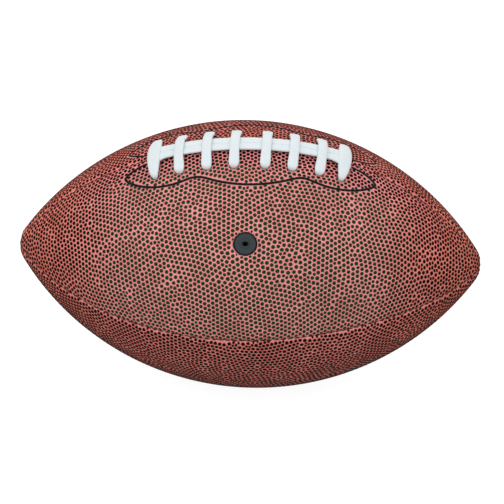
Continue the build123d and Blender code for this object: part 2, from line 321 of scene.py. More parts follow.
def on_ball(run, turn, height=0.0):
    """Point over the twisted cover: round the axis at the run's radius, then out by a height."""
    along, radius, _ = meridian(run)
    real_turn = turn + twist(along)
    skin = np.stack(
        [along, -radius * np.sin(real_turn), axis_height + radius * np.cos(real_turn)], axis=-1
    )
    return skin + outwards(run, turn) * np.asarray(height)[..., None]


def run_at(along):
    """Run of a place between the shoulders, from its distance along the axis."""
    return arc_radius * np.arcsin(along / arc_radius)


def lay_flat():
    """Run and turn, from the panel's middle line, over the flat grid.

    A line square to the middle is a geodesic, on which turn' = r0 / r^2 and run'' = r0^2 r' / r^3, with r
    the radius of the skin and r0 that at the start. It is stepped outwards from the middle line.
    """
    start_radius = np.maximum(meridian(flat_starts)[1], flat_step)
    run, turn, drift = flat_starts, np.zeros_like(flat_starts), np.zeros_like(flat_starts)
    runs, turns = [run], [turn]
    for _ in range(round(flat_reach / flat_step)):
        _, radius, slope = meridian(run)
        radius = np.maximum(radius, flat_step)
        drift = drift - flat_step * start_radius**2 * np.sin(slope) / radius**3
        run = run + flat_step * drift
        turn = turn + flat_step * start_radius / radius**2
        runs.append(run)
        turns.append(turn)
    return np.stack(runs, axis=1), np.stack(turns, axis=1)


flat_runs, flat_turns = lay_flat()


def from_flat(flat):
    """Run and turn of places on the flat leather, between the four grid points round each."""
    just_inside = 1.001
    last_column, last_line = np.array(flat_runs.shape) - just_inside
    column = np.clip((flat[:, 0] + tip_run) / flat_step, 0, last_column)
    line = np.clip(np.abs(flat[:, 1]) / flat_step, 0, last_line)
    c, n = column.astype(int), line.astype(int)
    across, up = column - c, line - n

    def between(grid):
        near = grid[c, n] * (1 - across) + grid[c + 1, n] * across
        far = grid[c, n + 1] * (1 - across) + grid[c + 1, n + 1] * across
        return near * (1 - up) + far * up

    return between(flat_runs), np.sign(flat[:, 1]) * between(flat_turns)


def to_flat(run, turn):
    """Places on the flat leather of runs and turns, by repeated correction of a first guess."""
    radius = meridian(run)[1]
    flat = np.stack([run, radius * turn], axis=1)
    for _ in range(correction_rounds):
        got_run, got_turn = from_flat(flat)
        flat = flat + np.stack([run - got_run, radius * (turn - got_turn)], axis=1)
    return flat


def triangulate(flat):
    """Corners of the Delaunay triangles of flat points, anticlockwise on the flat."""
    weld_distance = 1e-6
    found = delaunay_2d_cdt((flat / mm).tolist(), [], [], 0, weld_distance)
    order = np.array(found[3]).reshape(-1)
    corners = order[np.array(found[2])]
    a, b, c = flat[corners[:, 0]], flat[corners[:, 1]], flat[corners[:, 2]]
    turned = (b - a)[:, 0] * (c - a)[:, 1] < (b - a)[:, 1] * (c - a)[:, 0]
    corners[turned] = corners[turned][:, ::-1]
    return corners


def pebble_centres(turned, chance):
    """Middles of the pebbles on the flat: rows of hexagons turned, bent and shaken, then evened out.

    The rows bend by a few sine waves of random direction. Evening out moves each point to the middle of the
    triangles round it, weighed by area, which leaves patches of even rows that meet at odd angles.
    """
    columns = np.arange(-pebble_sheet, pebble_sheet, pebble_pitch)
    x, y = np.meshgrid(columns, columns * sqrt(3) / 2)
    x[::2] += pebble_pitch / 2
    flat = np.stack([x, y], axis=-1).reshape(-1, 2)
    flat = flat @ np.array([[cos(turned), sin(turned)], [-sin(turned), cos(turned)]])
    for angle, phase in chance.uniform(0, 2 * pi, (pebble_drift_waves, 2)):
        along = flat @ np.array([cos(angle), sin(angle)])
        wave = np.sin(2 * pi * along / pebble_drift_length + phase)
        flat += pebble_drift * np.outer(wave, [-sin(angle), cos(angle)])
    flat = flat[(np.abs(flat[:, 0]) < tip_run) & (np.abs(flat[:, 1]) < flat_reach)]
    flat += chance.normal(0, pebble_shake, flat.shape)
    for _ in range(evening_rounds):
        corners = triangulate(flat)
        first, second, third = np.moveaxis(flat[corners], 1, 0)
        area = np.abs(np.cross(second - first, third - first))
        middles = (first + second + third) / 3
        total, weight = np.zeros_like(flat), np.zeros(len(flat))
        np.add.at(total, corners.reshape(-1), np.repeat(middles * area[:, None], 3, axis=0))
        np.add.at(weight, corners.reshape(-1), np.repeat(area, 3))
        flat = total / weight[:, None]
    return flat


def lace_hole(along, side):
    """Run and turn of a lace hole, which lies across the ball from its row, square to the skin there."""
    slope = np.arcsin(along / arc_radius)
    radius = meridian(run_at(along))[1] / cos(slope)
    angle = hole_offset / radius
    x = along - radius * sin(slope) * (1 - cos(angle))
    return run_at(x), side * atan2(sin(angle), cos(slope) * cos(angle))


def arc_through(a, b, c):
    """Points on the circle through three points of a plane, from the first to the last."""
    a, b, c = (complex(*point) for point in (a, b, c))
    w = (c - a) / (b - a)
    centre = a + (b - a) * (w - abs(w) ** 2) / (w - w.conjugate())
    turn = np.angle((c - centre) / (a - centre))
    if np.angle((b - centre) / (a - centre)) * turn < 0:
        turn -= np.sign(turn) * 2 * pi
    arc = centre + (a - centre) * np.exp(1j * turn * np.linspace(0, 1, sewn_arc_points))
    return np.stack([arc.real, arc.imag], axis=1)


def sewn_places(side):
    """Runs, turns and distances along the sewn line round the lace holes on one side.

    Arcs through the line's points are sampled evenly, and blurred by a Hann window near the waists and tips.
    """
    heel, bend, tip, lobe, waist, middle = (np.array(point) * mm for point in sewn_points)
    mirror = np.array([-1, 1])
    half = np.concatenate([arc_through(heel, bend, tip)[:-1], arc_through(tip, lobe, waist)])
    between_waists = arc_through(waist, middle, waist * mirror)[1:-1]
    whole = np.concatenate([half, between_waists, (half * mirror)[::-1]])
    length = np.concatenate([[0], np.cumsum(np.linalg.norm(np.diff(whole, axis=0), axis=1))])
    distance = np.linspace(0, length[-1], round(length[-1] / stitch_sample))
    line = np.stack([np.interp(distance, length, whole[:, axis]) for axis in (0, 1)], axis=1)
    window = round(stitch_rounding / stitch_sample)
    before = 2 * line[0] - line[window:0:-1]
    beyond = 2 * line[-1] - line[-2 : -window - 2 : -1]
    padded = np.concatenate([before, line, beyond])
    blur = np.hanning(2 * window + 3)[1:-1]
    blur /= blur.sum()
    rounded = np.stack([np.convolve(padded[:, axis], blur, "valid") for axis in (0, 1)], axis=1)
    near_waist = np.exp(-(((np.abs(line[:, 0]) - waist[0]) / stitch_rounding) ** 2))
    near_tip = np.exp(-(((np.abs(line[:, 0]) - tip[0]) / stitch_tip_rounding) ** 2))
    line += (rounded - line) * np.maximum(near_waist, stitch_tip_softness * near_tip)[:, None]
    run = run_at(line[:, 0])
    return run, side * np.arcsin(line[:, 1] / meridian(run)[1]), distance


def seam_sink(gap):
    """Depth of the skin beside a seam: a quarter ellipse down from the shoulder, less a low swell."""
    share = np.clip(1 - gap / seam_shoulder, 0, 1)
    swell = seam_pad * np.exp(-(((gap - seam_pad_place) / seam_pad_width) ** 2))
    return seam_depth * (1 - np.sqrt(1 - share**2)) - swell


def rim(run, turn, half_long, half_across, count):
    """Loop round a hole: an oval of that size, as runs and turns, which the twist moves but doesn't shear."""
    angle = np.linspace(0, 2 * pi, count, endpoint=False)
    along, radius, _ = meridian(run)
    loop_run = run + half_long * np.cos(angle)
    shear = twist(meridian(loop_run)[0]) - twist(along)
    return loop_run, turn + half_across * np.sin(angle) / radius - shear


def panel_holes(place):
    """Holes in a panel: run, turn from its middle line, half sizes, points on the rim and rim depth."""
    holes = []
    if place in top_sides:
        for along in rows:
            run, turn = lace_hole(along, top_sides[place])
            wide = end_foot_width if along in end_rows else lace_foot_width
            thick = end_foot_thickness if along in end_rows else lace_thickness
            half_sizes = wide / 2 + hole_clearance, thick / 2 + hole_clearance
            holes.append((run, turn - panel_middles[place], *half_sizes, hole_rim_points, hole_rim_depth))
    if place == "front_top":
        turn = valve_turn - twist_middle - panel_middles[place]
        holes.append((0.0, turn, valve_hole_radius, valve_hole_radius, valve_rim_points, valve_rim_depth))
    return holes


def panel_layout(place, chance):
    """Points of a panel on the flat: pebbles first, then plain points along seams and round holes.

    Returns the flat places, runs, turns from the panel's middle line, extra depths, a loop number for points
    on a hole's edge, which is -1 elsewhere, and how many points are pebbles.
    """
    flat = pebble_centres(pebble_row_turns[place], chance)
    run, turn = from_flat(flat)
    gap = meridian(run)[1] * (half_panel - np.abs(turn))
    keep = gap > pebble_seam_margin
    holes = panel_holes(place)
    for hole_run, hole_turn, half_long, half_across, *_ in holes:
        x = (run - hole_run) / (half_long + pebble_hole_margin)
        y = (turn - hole_turn) * meridian(hole_run)[1] / (half_across + pebble_hole_margin)
        keep &= x**2 + y**2 > 1
    if place in top_sides:
        sewn_run, sewn_turn, _ = sewn_places(top_sides[place])
        sewn_turn = sewn_turn - panel_middles[place]
        sewn = to_flat(sewn_run, sewn_turn)[::sewn_test_step]
        near = np.linalg.norm(flat[keep][:, None] - sewn, axis=2).min(axis=1)
        keep[keep] = near > pebble_stitch_margin
    layout = []

    def add(flat, run, turn, depth=0.0, loop=-1):
        layout.append((flat, run, turn, np.broadcast_to(depth, run.shape), np.full(len(run), loop)))

    add(flat[keep], run[keep], turn[keep])
    seam_run = np.linspace(-seam_end, seam_end, round(2 * seam_end / seam_spacing))
    seam_turn = half_panel - seam_gap / meridian(seam_run)[1]
    pucker = seam_pucker * (0.5 + 0.5 * np.cos(2 * pi * seam_run / seam_stitch))
    for side in (-1, 1):
        add(to_flat(seam_run, side * seam_turn), seam_run, side * seam_turn, pucker)
    for number, (*hole, depth) in enumerate(holes):
        edge = rim(*hole)
        add(to_flat(*edge), *edge, depth, number)
    if place in top_sides:
        some = slice(0, None, round(stitch_groove_spacing / stitch_sample))
        groove = sewn_run[some], sewn_turn[some]
        add(to_flat(*groove), *groove, stitch_groove)
    tips = np.array([-1, 1]) * (tip_run - tip_inset)
    add(np.stack([tips, np.zeros(2)], axis=1), tips, np.zeros(2))
    return *(np.concatenate(column) for column in zip(*layout)), keep.sum()


def twins(corners, count):
    """Start and end of each triangle side, and the row of its neighbour's same side, or -1 on an edge."""
    start = corners.reshape(-1)
    end = np.roll(corners, -1, axis=1).reshape(-1)
    key, other = start * count + end, end * count + start
    order = np.argsort(key)
    place = np.minimum(np.searchsorted(key[order], other), len(key) - 1)
    twin = order[place]
    return start, end, np.where(key[twin] == other, twin, -1)


def new_piece(name, points, faces, material, slot, body="ball", maps=None, **attributes):
    """Mesh piece from points and lists of faces with equal corners, riding on a body.

    Points that no face uses are dropped. An attribute gives each point a number, and maps, one for each list
    of faces, give each point its place on the baked picture.
    """
    used = np.zeros(len(points), bool)
    for group in faces:
        used[group.reshape(-1)] = True
    renumbered = np.cumsum(used) - 1
    mesh = bpy.data.meshes.new(name)
    corners = np.concatenate([renumbered[group].reshape(-1) for group in faces])
    sizes = np.concatenate([np.full(len(group), group.shape[1]) for group in faces])
    mesh.vertices.add(used.sum())
    mesh.vertices.foreach_set("co", points[used].reshape(-1).astype(np.float32))
    mesh.loops.add(len(corners))
    mesh.loops.foreach_set("vertex_index", corners.astype(np.int32))
    mesh.polygons.add(len(sizes))
    mesh.polygons.foreach_set("loop_start", (np.cumsum(sizes) - sizes).astype(np.int32))
    mesh.polygons.foreach_set("use_smooth", np.ones(len(sizes), bool))
    for label, values in attributes.items():
        stored = mesh.attributes.new(label, "FLOAT", "POINT")
        stored.data.foreach_set("value", values[used].astype(np.float32))
    if maps:
        places = np.concatenate([table[group.reshape(-1)] for table, group in zip(maps, faces)])
        mesh.uv_layers.new(name="OFBake").data.foreach_set("uv", places.reshape(-1).astype(np.float32))
    mesh.update(calc_edges=True)
    mesh.materials.append(material)
    piece = bpy.data.objects.new(name, mesh)
    bpy.context.scene.collection.objects.link(piece)
    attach(piece, body)
    return piece


def painted_warmth_and_highlight(points, place):
    """Painted warmth of the leather, which grows from the panel's own to 1 at the tips, and painted highlight
    on the ink.

    The highlight grows out from the lace seam, and weakens towards the tips.
    """
    along, out = np.abs(points[:, 0]), np.abs(points[:, 1])
    redness = 1 - (1 - panel_redness[place]) * (1 - ramp(along, redness_start, redness_end))
    fading = ink_fading[place] * ramp(out, ink_fading_start, ink_fading_full)
    return redness, fading * (1 - ramp(along, ink_fading_low, ink_fading_end))


def picture_places(flats):
    """Places of flat points on the baked picture, as outer and as inner skin."""
    outer = (0.5 + 0.5 * map_fill * flats / [tip_run, widest_flat]) * [1, outer_share]
    return outer, outer * [1, inner_share] + [0, inner_start]


def leather_panel(place, material, chance):
    """Panel of leather as one closed skin.

    The outer skin is cells round the pebbles: from a pebble's middle to a top ring, a foot ring and the
    middles of the triangles round it. The inner skin is the triangles themselves, one thickness in, and
    strips along the seams and holes join the two.
    """
    flat, run, turn, extra, loop, pebble_count = panel_layout(place, chance)
    count = len(flat)
    pebble = np.arange(count) < pebble_count
    spread = np.clip(chance.normal(size=count), -pebble_size_limit, pebble_size_limit)
    size = 1 + pebble_size_spread * spread
    radius = meridian(run)[1]
    gap = radius * (half_panel - np.abs(turn))
    sink = seam_sink(gap) + extra
    middle = panel_middles[place]
    skin, up = on_ball(run, turn + middle), outwards(run, turn + middle)

    corners = triangulate(flat)
    in_hole = (loop[corners] == loop[corners[:, :1]]).all(axis=1) & (loop[corners[:, 0]] >= 0)
    corners = corners[~in_hole][:, ::-1]
    triangles = len(corners)

    # Outer skin
    centre = skin[corners].mean(axis=1)
    centre_up = up[corners].mean(axis=1)
    centre_sink = sink[corners].mean(axis=1)
    centre_gap = gap[corners].mean(axis=1)
    centre_flat = flat[corners].mean(axis=1)
    valleys = centre - centre_up * (centre_sink + valley_depth * pebble[corners].mean(axis=1))[:, None]
    tops = skin - up * (sink - pebble_rise * pebble)[:, None]
    spoke = centre[:, None] - skin[corners]
    length = np.linalg.norm(spoke, axis=-1)

    def ring(ring_radius, most, rise):
        """Points on the spokes from each pebble, at a radius or at most a share of the spoke."""
        share = np.minimum(ring_radius * size[corners] / length, most)
        depth = sink[corners] + (centre_sink[:, None] - sink[corners]) * share - rise
        ring_points = skin[corners] + spoke * share[..., None] - up[corners] * depth[..., None]
        ring_gap = gap[corners] + (centre_gap[:, None] - gap[corners]) * share
        ring_flat = flat[corners] + (centre_flat[:, None] - flat[corners]) * share[..., None]
        return ring_points.reshape(-1, 3), ring_gap.reshape(-1), ring_flat.reshape(-1, 2)

    top_ring, top_gap, top_flat = ring(pebble_top, top_limit, top_ring_share * pebble_rise)
    foot_ring, foot_gap, foot_flat = ring(pebble_foot, foot_limit, -foot_ring_share * valley_depth)

    # Inner skin, and the walls of the seams and holes
    drawn_in = panel_thickness + gap * (1 - panel_thickness / edge_strip)
    inner_turn = np.sign(turn) * (half_panel - np.where(gap < edge_strip, drawn_in, gap) / radius) + middle
    on_edge = loop >= 0
    at_hole = on_edge[:, None]
    down = up * panel_thickness
    inner = np.where(at_hole, skin - down, on_ball(run, inner_turn, -panel_thickness))
    deep = np.where(at_hole, skin - down * hole_wall_share, on_ball(run, turn + middle, -turned_edge_depth))
    deep_in = np.where(at_hole, skin - down * hole_foot_share, on_ball(run, inner_turn, -turned_edge_depth))

    points = np.concatenate([tops, valleys, top_ring, foot_ring, inner, deep, deep_in])
    first = np.cumsum([0, count, triangles, 3 * triangles, 3 * triangles, count, count])
    _, valley_at, top_at, foot_at, inner_at, deep_at, deep_in_at = first

    # Faces: the cells of pebbles and of plain points, the border of the outer skin, the inner skin and walls
    start, end, twin = twins(corners, count)
    near = np.flatnonzero(twin >= 0)
    beyond = twin[near]
    far = beyond // 3 * 3 + (beyond % 3 + 1) % 3
    a = start[near]
    near_valley, far_valley = valley_at + near // 3, valley_at + beyond // 3
    near_top, far_top, near_foot, far_foot = top_at + near, top_at + far, foot_at + near, foot_at + far
    round_pebble = pebble[a]
    faces = [
        np.stack([a, far_top, near_top], axis=1)[round_pebble],
        np.stack([far_top, far_foot, near_foot, near_top], axis=1)[round_pebble],
        np.stack([far_foot, far_valley, near_valley, near_foot], axis=1)[round_pebble],
        np.stack([a, far_valley, near_valley], axis=1)[~round_pebble],
    ]
    edge = np.flatnonzero(twin < 0)
    a, b = start[edge], end[edge]
    faces.append(np.stack([a, b, valley_at + edge // 3], axis=1))
    outer_groups = len(faces)
    faces.append(corners[:, ::-1] + inner_at)
    levels = (0, deep_at, deep_in_at, inner_at)
    for upper, lower in zip(levels, levels[1:]):
        faces.append(np.stack([b + upper, a + upper, a + lower, b + lower], axis=1))

    # Marks for the material: ink on the pebbles, painted shade in the seams, darkest at the puckers, painted
    # shadow on the rims of holes, and painted shade on the walls of seams and holes
    redness, fading = painted_warmth_and_highlight(points, place)
    marks = np.zeros(len(points))
    marks[:count] = pebble
    marks[top_at:foot_at] = ink_reach[place]
    # The ink spreads onto the pebbles' feet with the painted warmth, which darkens the dots towards the tips
    # and rims
    marks[foot_at:inner_at] = ink_spread * redness[foot_at:inner_at]
    outer_gap = np.concatenate([gap, centre_gap, top_gap, foot_gap])
    shade = np.ones(len(points))
    # Painted shade in the seam grooves, in dashes that are darkest at the puckers
    shade[:inner_at] = np.clip(1 - outer_gap / seam_shade, 0, 1)
    shade[:count] *= 1 - seam_fading * (1 - np.minimum(extra / seam_pucker, 1))
    # Painted shadow on the rim of every hole
    shade[:count][on_edge] = hole_edge_shade
    shade[inner_at:deep_at] = 0

    outer_map, inner_map = picture_places(
        np.concatenate([flat, centre_flat, top_flat, foot_flat, flat, flat, flat])
    )
    maps = [outer_map] * outer_groups + [inner_map] * (len(faces) - outer_groups)
    piece = new_piece(
        f"leather_{place}", points, faces, material, "composite_leather",
        maps=maps, pebble=marks, seam=shade, redness=redness, fading=fading,
    )
    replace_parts(piece, f"panel_{place}")
    return piece


def node(tree, kind, inputs=None, **settings):
    """Node of a kind with its settings, whose inputs are linked to sockets or set to values."""
    made = tree.nodes.new(kind)
    for name, value in settings.items():
        setattr(made, name, value)
    for name, value in (inputs or {}).items():
        if isinstance(value, bpy.types.NodeSocket):
            tree.links.new(value, made.inputs[name])
        else:
            made.inputs[name].default_value = value
    return made


def new_material(name):
    """Material with only a Principled shader and its output. Returns it, its tree and its shader."""
    material = bpy.data.materials.new(name)
    material.use_nodes = True
    tree = material.node_tree
    tree.nodes.clear()
    shader = node(tree, "ShaderNodeBsdfPrincipled")
    node(tree, "ShaderNodeOutputMaterial", {"Surface": shader.outputs["BSDF"]})
    return material, tree, shader


def pebbled_leather():
    """Composite leather: a polyurethane skin pressed into pebbles, with dark ink rolled on their tops.

    The eye sees dark dots on a mottled crimson-pink that is dull all over. The dots are black, and grey-green
    under a painted highlight. The pebbles' flanks are redder than the valleys between them, painted warmth
    stands for the sheen that the tips and other panels lack, and painted shade makes seams, puckers, hole
    rims and cut walls dark red-brown.
    """
    patch_size, grain_size, pore_size, pore_depth = 24 * mm, 1.1 * mm, 0.5 * mm, 0.1 * mm
    material, tree, shader = new_material("pebbled_composite_leather")
    place = node(tree, "ShaderNodeTexCoord").outputs["Object"]
    patches = node(tree, "ShaderNodeTexNoise", {"Vector": place, "Scale": 1 / patch_size, "Detail": 3.0})
    grain = node(tree, "ShaderNodeTexNoise", {"Vector": place, "Scale": 1 / grain_size, "Detail": 4.0})
    mottle = node(
        tree,
        "ShaderNodeMix",
        {mix_factor: grain.outputs["Fac"], mix_first: linear("#E6948E"), mix_second: linear("#FAABB0")},
        data_type="RGBA",
    )
    darker = node(
        tree,
        "ShaderNodeMapRange",
        {"Value": patches.outputs["Fac"], "From Min": 0.35, "From Max": 0.7, "To Min": 0.0, "To Max": 0.3},
    )
    skin = node(
        tree,
        "ShaderNodeMix",
        {
            mix_factor: darker.outputs["Result"],
            mix_first: mottle.outputs[mix_result],
            mix_second: linear("#C46968"),
        },
        data_type="RGBA",
    )
    # Painted warmth: the tips and the panels other than the front top are warmer, for the sheen that they
    # lack
    redness = node(tree, "ShaderNodeAttribute", attribute_name="redness")
    reddened = node(
        tree,
        "ShaderNodeMix",
        {
            mix_factor: redness.outputs["Fac"],
            mix_first: skin.outputs[mix_result],
            mix_second: linear("#FFFAE6"),
        },
        data_type="RGBA",
        blend_type="MULTIPLY",
    )
    pebble = node(tree, "ShaderNodeAttribute", attribute_name="pebble")
    flank_share = node(
        tree, "ShaderNodeMapRange", {"Value": pebble.outputs["Fac"], "From Min": 0.0, "From Max": 0.2}
    )
    flanked = node(
        tree,
        "ShaderNodeMix",
        {
            mix_factor: flank_share.outputs["Result"],
            mix_first: reddened.outputs[mix_result],
            mix_second: linear("#F2CDC3"),
        },
        data_type="RGBA",
        blend_type="MULTIPLY",
    )
    ink_share = node(
        tree,
        "ShaderNodeMapRange",
        {"Value": pebble.outputs["Fac"], "From Min": 0.45, "From Max": 0.85},
        interpolation_type="SMOOTHSTEP",
    )
    # Painted highlight: the black ink turns grey-green where the lamps' sheen would lie on the front panel
    fading = node(tree, "ShaderNodeAttribute", attribute_name="fading")
    ink = node(
        tree,
        "ShaderNodeMix",
        {mix_factor: fading.outputs["Fac"], mix_first: linear("#030803"), mix_second: linear("#173D23")},
        data_type="RGBA",
    )
    inked = node(
        tree,
        "ShaderNodeMix",
        {
            mix_factor: ink_share.outputs["Result"],
            mix_first: flanked.outputs[mix_result],
            mix_second: ink.outputs[mix_result],
        },
        data_type="RGBA",
    )
    # Painted shade: dark red-brown in the seam grooves and puckers, on the rims of holes and on the cut walls
    seam = node(tree, "ShaderNodeAttribute", attribute_name="seam")
    seam_share = node(
        tree, "ShaderNodeMapRange", {"Value": seam.outputs["Fac"], "From Min": 0.15, "From Max": 0.55}
    )
    colour = node(
        tree,
        "ShaderNodeMix",
        {
            mix_factor: seam_share.outputs["Result"],
            mix_first: inked.outputs[mix_result],
            mix_second: linear("#3E100E"),
        },
        data_type="RGBA",
    )
    shine = node(
        tree,
        "ShaderNodeMapRange",
        {"Value": ink_share.outputs["Result"], "To Min": 1.0, "To Max": 0.8},
    )
    pores = node(tree, "ShaderNodeTexNoise", {"Vector": place, "Scale": 1 / pore_size, "Detail": 2.0})
    bump = node(
        tree, "ShaderNodeBump", {"Height": pores.outputs["Fac"], "Strength": 0.25, "Distance": pore_depth}
    )
    tree.links.new(colour.outputs[mix_result], shader.inputs["Base Color"])
    tree.links.new(shine.outputs["Result"], shader.inputs["Roughness"])
    tree.links.new(bump.outputs["Normal"], shader.inputs["Normal"])
    shader.inputs["Specular IOR Level"].default_value = 0.06
    return material


def speckled(name, first, second, spot, dull, glossy, relief, shine_level=0.5):
    """Moulded, woven or spun stuff whose colour, roughness and relief vary in soft spots of one size."""
    material, tree, shader = new_material(name)
    place = node(tree, "ShaderNodeTexCoord").outputs["Object"]
    spots = node(tree, "ShaderNodeTexNoise", {"Vector": place, "Scale": 1 / spot, "Detail": 4.0})
    colour = node(
        tree,
        "ShaderNodeMix",
        {mix_factor: spots.outputs["Fac"], mix_first: linear(first), mix_second: linear(second)},
        data_type="RGBA",
    )
    shine = node(
        tree, "ShaderNodeMapRange", {"Value": spots.outputs["Fac"], "To Min": glossy, "To Max": dull}
    )
    bump = node(
        tree, "ShaderNodeBump", {"Height": spots.outputs["Fac"], "Strength": 0.4, "Distance": relief}
    )
    tree.links.new(colour.outputs[mix_result], shader.inputs["Base Color"])
    tree.links.new(shine.outputs["Result"], shader.inputs["Roughness"])
    tree.links.new(bump.outputs["Normal"], shader.inputs["Normal"])
    shader.inputs["Specular IOR Level"].default_value = shine_level
    return material


def flowing(points, count):
    """Uniform cubic B-spline that starts and ends at the first and last point and follows those between."""
    knots = np.concatenate([[2 * points[0] - points[1]], points, [2 * points[-1] - points[-2]]])
    place = np.linspace(0, len(points) - 1, count)
    span = np.minimum(place.astype(int), len(points) - 2)
    f = (place - span)[:, None]
    weights = (1 - f) ** 3, 3 * f**3 - 6 * f**2 + 4, -3 * f**3 + 3 * f**2 + 3 * f + 1, f**3
    return sum(weight * knots[span + step] for step, weight in enumerate(weights)) / 6


def facing_out(points, faces):
    """The faces, all turned round if the volume that they close, the sum of p . (q x r) / 6, is negative."""
    fans = [faces[0][:, (0, 1, 2)], faces[0][:, (0, 2, 3)]] + faces[1:]
    p, q, r = np.moveaxis(points[np.concatenate(fans)], 1, 0)
    volume = np.einsum("ij,ij->i", p, np.cross(q, r)).sum()
    return faces if volume > 0 else [group[:, ::-1] for group in faces]


def strand(path, side, half_width, half_height, sides=24, flatness=0.65):
    """Strand: a flattened oval carried along a path, closed at both ends.

    side is the direction of its width, and the height is square to that and to the path. The oval's cosine
    and sine are raised to the flatness, which makes it an ellipse at 1 and squarer below.
    """
    ahead = np.gradient(path, axis=0)
    ahead /= np.linalg.norm(ahead, axis=1, keepdims=True)
    side = side - ahead * (side * ahead).sum(axis=1, keepdims=True)
    side /= np.linalg.norm(side, axis=1, keepdims=True)
    up = np.cross(ahead, side)
    angle = np.linspace(0, 2 * pi, sides, endpoint=False)
    wide = np.sign(np.cos(angle)) * np.abs(np.cos(angle)) ** flatness
    high = np.sign(np.sin(angle)) * np.abs(np.sin(angle)) ** flatness
    rings = (
        path[:, None]
        + side[:, None] * (half_width[:, None] * wide)[..., None]
        + up[:, None] * (half_height[:, None] * high)[..., None]
    )
    count = len(path)
    points = np.concatenate([rings.reshape(-1, 3), path[:1], path[-1:]])
    here = np.arange(sides)
    after = (here + 1) % sides
    ring = np.arange(count - 1)[:, None] * sides
    quads = np.stack([ring + here, ring + after, ring + sides + after, ring + sides + here], axis=-1)
    last = (count - 1) * sides
    first_cap = np.stack([np.full(sides, count * sides), after, here], axis=1)
    last_cap = np.stack([np.full(sides, count * sides + 1), last + here, last + after], axis=1)
    faces = [quads.reshape(-1, 4), np.concatenate([first_cap, last_cap])]
    return points, facing_out(points, faces)


def joined(parts):
    """Points and faces of several closed parts as one list of each."""
    shifts = np.cumsum([0] + [len(points) for points, _ in parts])
    faces = [group + shift for (_, groups), shift in zip(parts, shifts) for group in groups]
    return np.concatenate([points for points, _ in parts]), faces


def lace_row(along):
    """Strand of a lace row, out of the back hole, over the long strands and down the front hole.

    Its line bends round the ball in a plane square to the skin, in which a distance across the ball is an
    angle. Its width falls to the feet as the root of 1 less a power of the share, which rounds them.
    """
    at_end = along in end_rows
    slope = np.arcsin(along / arc_radius)
    radius = meridian(run_at(along))[1] / cos(slope)
    lean = twist(along)
    top = np.array([sin(slope), -sin(lean) * cos(slope), cos(lean) * cos(slope)])
    front = np.array([0.0, -cos(lean), -sin(lean)])
    along_ball = np.array([cos(slope), sin(lean) * sin(slope), -cos(lean) * sin(slope)])
    on_axis = np.array([along - top[0] * radius, 0, axis_height])
    half = np.array(end_row_line if at_end else row_line) * mm
    line = flowing(np.concatenate([half[::-1] * [-1, 1], half[1:]]), row_points)
    angle, reach = line[:, 0] / radius, radius + line[:, 1]
    path = on_axis + np.outer(reach * np.sin(angle), front) + np.outer(reach * np.cos(angle), top)
    share = np.clip(np.abs(line[:, 0]) / hole_offset, 0, 1)
    steps = np.linalg.norm(np.diff(line, axis=0), axis=1)
    from_top = np.abs(np.concatenate([[0], np.cumsum(steps)]) - steps.sum() / 2)
    if at_end:
        path += np.outer(np.sign(along) * end_bulge * np.cos(share * pi / 2), along_ball)
        rounding = np.clip(from_top / end_foot_end, 0, end_foot_roundness)
        half_width = end_width / 2 * np.sqrt(1 - rounding**end_foot_power)
        half_height = np.interp(share, end_height_places, end_height_shares) * end_thickness
    else:
        rounding = np.clip((from_top - foot_start) / (foot_end - foot_start), 0, foot_roundness)
        full_width = np.interp(share, width_places, width_shares) * lace_width
        half_width = full_width / 2 * np.sqrt(1 - rounding**2)
        half_height = np.full(len(path), lace_thickness / 2)
    return strand(path, np.broadcast_to(along_ball, path.shape), half_width, half_height)


def long_strand(side):
    """One of the two strands along the seam, under the rows. The front one widens into the end rows."""
    along = np.linspace(*end_rows, long_strand_points)
    run = run_at(along)
    from_end = np.abs(end_rows[:, None] - along).min(axis=0)
    flare = np.clip(1 - from_end / long_strand_flare_length, 0, 1) ** 2 * long_strand_flare
    flare *= side > 0
    offset = side * (long_strand_gap + long_strand_width + flare) / 2
    turn = offset / meridian(run)[1]
    path = on_ball(run, turn, lace_clearance + long_strand_thickness / 2)
    half_width = (long_strand_width + flare) / 2
    half_height = np.full(len(path), long_strand_thickness / 2)
    return strand(path, forwards(run, turn), half_width, half_height, sides=28, flatness=0.3)


def inner_run(first, last, side):
    """Run of the lace behind the facing, from hole to hole on one side."""
    (first_run, first_turn), (last_run, last_turn) = lace_hole(first, side), lace_hole(last, side)
    run = np.linspace(first_run - lace_width / 2, last_run + lace_width / 2, inner_run_points)
    turn = np.interp(run, [first_run, last_run], [first_turn, last_turn])
    path = on_ball(run, turn, -inner_run_depth)
    even = np.ones(len(path))
    return strand(path, forwards(run, turn), even * lace_width / 2, even * lace_thickness / 2)


def lace(material):
    """The whole lace: eight rows, two long strands and the runs behind the facings."""
    parts = [lace_row(along) for along in rows]
    parts += [long_strand(side) for side in (-1, 1)]
    parts += [inner_run(*pair, (-1) ** place) for place, pair in enumerate(zip(rows, rows[1:]))]
    points, faces = joined(parts)
    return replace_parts(new_piece("lace_strip", points, faces, material, "white_lace"), "lace")


def sewn_line(place, side, material):
    """Line of stitches round the lace holes on one side: a thread that swells and dips with each stitch.

    The swell is the root of the size of a sine whose half wave is one stitch.
    """
    run, turn, distance = sewn_places(side)
    swell = np.sqrt(np.abs(np.sin(pi * distance / stitch_length)))
    path = on_ball(run, turn, stitch_lift[place] + stitch_swell * swell)
    ahead = np.gradient(path, axis=0)
    across = np.cross(ahead, outwards(run, turn))
    thick = stitch_thickness / 2 * (stitch_waist + (1 - stitch_waist) * swell)
    points, faces = strand(path, across, thick, stitch_flatness * thick, sides=10, flatness=1.0)
    piece = new_piece(f"sewn_line_{place}", points, faces, material, "black_thread")
    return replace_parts(piece, f"facing_stitch_{place}")


